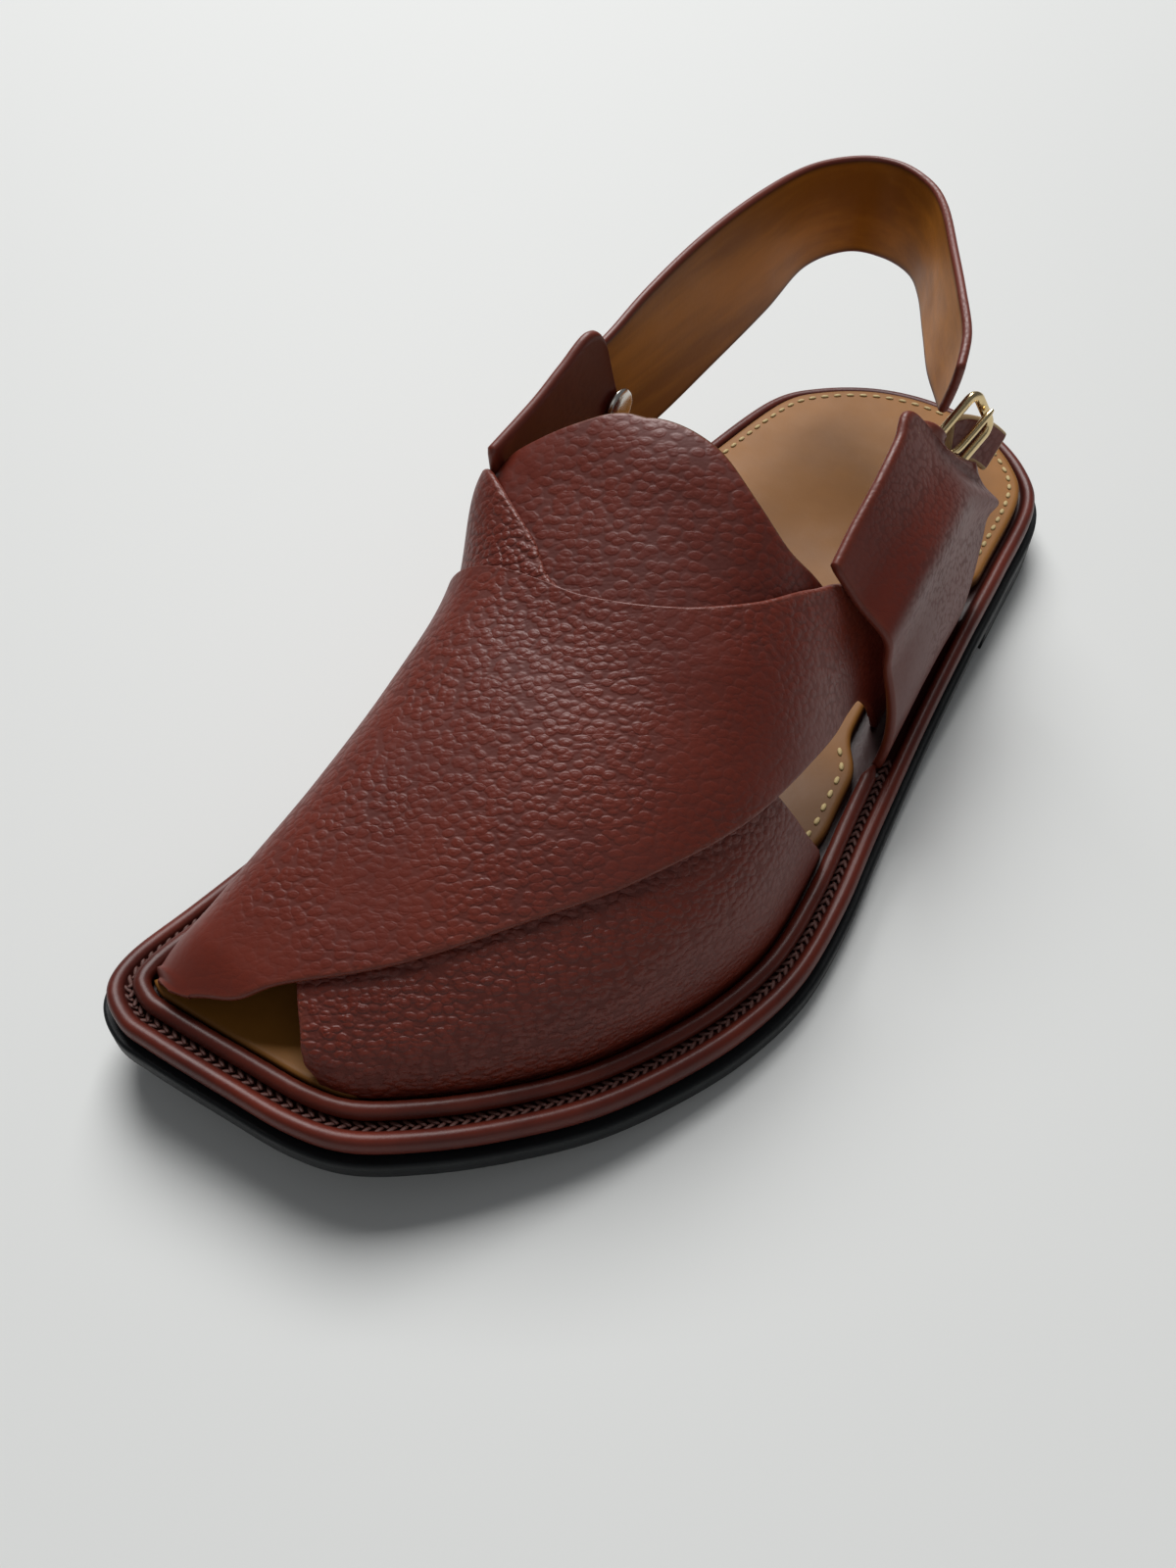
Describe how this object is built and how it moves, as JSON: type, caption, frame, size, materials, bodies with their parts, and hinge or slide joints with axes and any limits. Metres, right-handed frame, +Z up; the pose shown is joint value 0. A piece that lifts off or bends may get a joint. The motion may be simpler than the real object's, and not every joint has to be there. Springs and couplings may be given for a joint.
{
  "type": "peshawari chappal",
  "caption": "Left leather sandal with crossed bands over an open toe, a flap, side ears, a buckled heel strap and a stacked rubber and leather sole.",
  "frame": {"origin": "floor level under the middle of the bounding box", "axes": "+Z up, toe towards -Y, heel towards +Y, +X is the wearer's left and the outer side of the shoe"},
  "size_m": [0.1176, 0.2948, 0.0873],
  "materials": {
    "rubber": "matt black rubber",
    "trim_leather": "smooth red-brown leather",
    "tan_leather": "smooth tan leather",
    "upper_leather": "pebbled oxblood leather",
    "brass": "polished pale brass",
    "nickel": "polished nickel"
  },
  "bodies": {
    "root": {"outsole": "rubber", "heel": "rubber", "welt": "trim_leather", "piping": "trim_leather", "insole": "tan_leather", "upper": "upper_leather", "tongue": "upper_leather", "ear_outer": "upper_leather", "ear_inner": "upper_leather", "heel_strap": "upper_leather", "strap_tail": "upper_leather", "buckle_frame": "brass", "buckle_prong": "brass", "rivet": "nickel"}
  },
  "joints": []
}
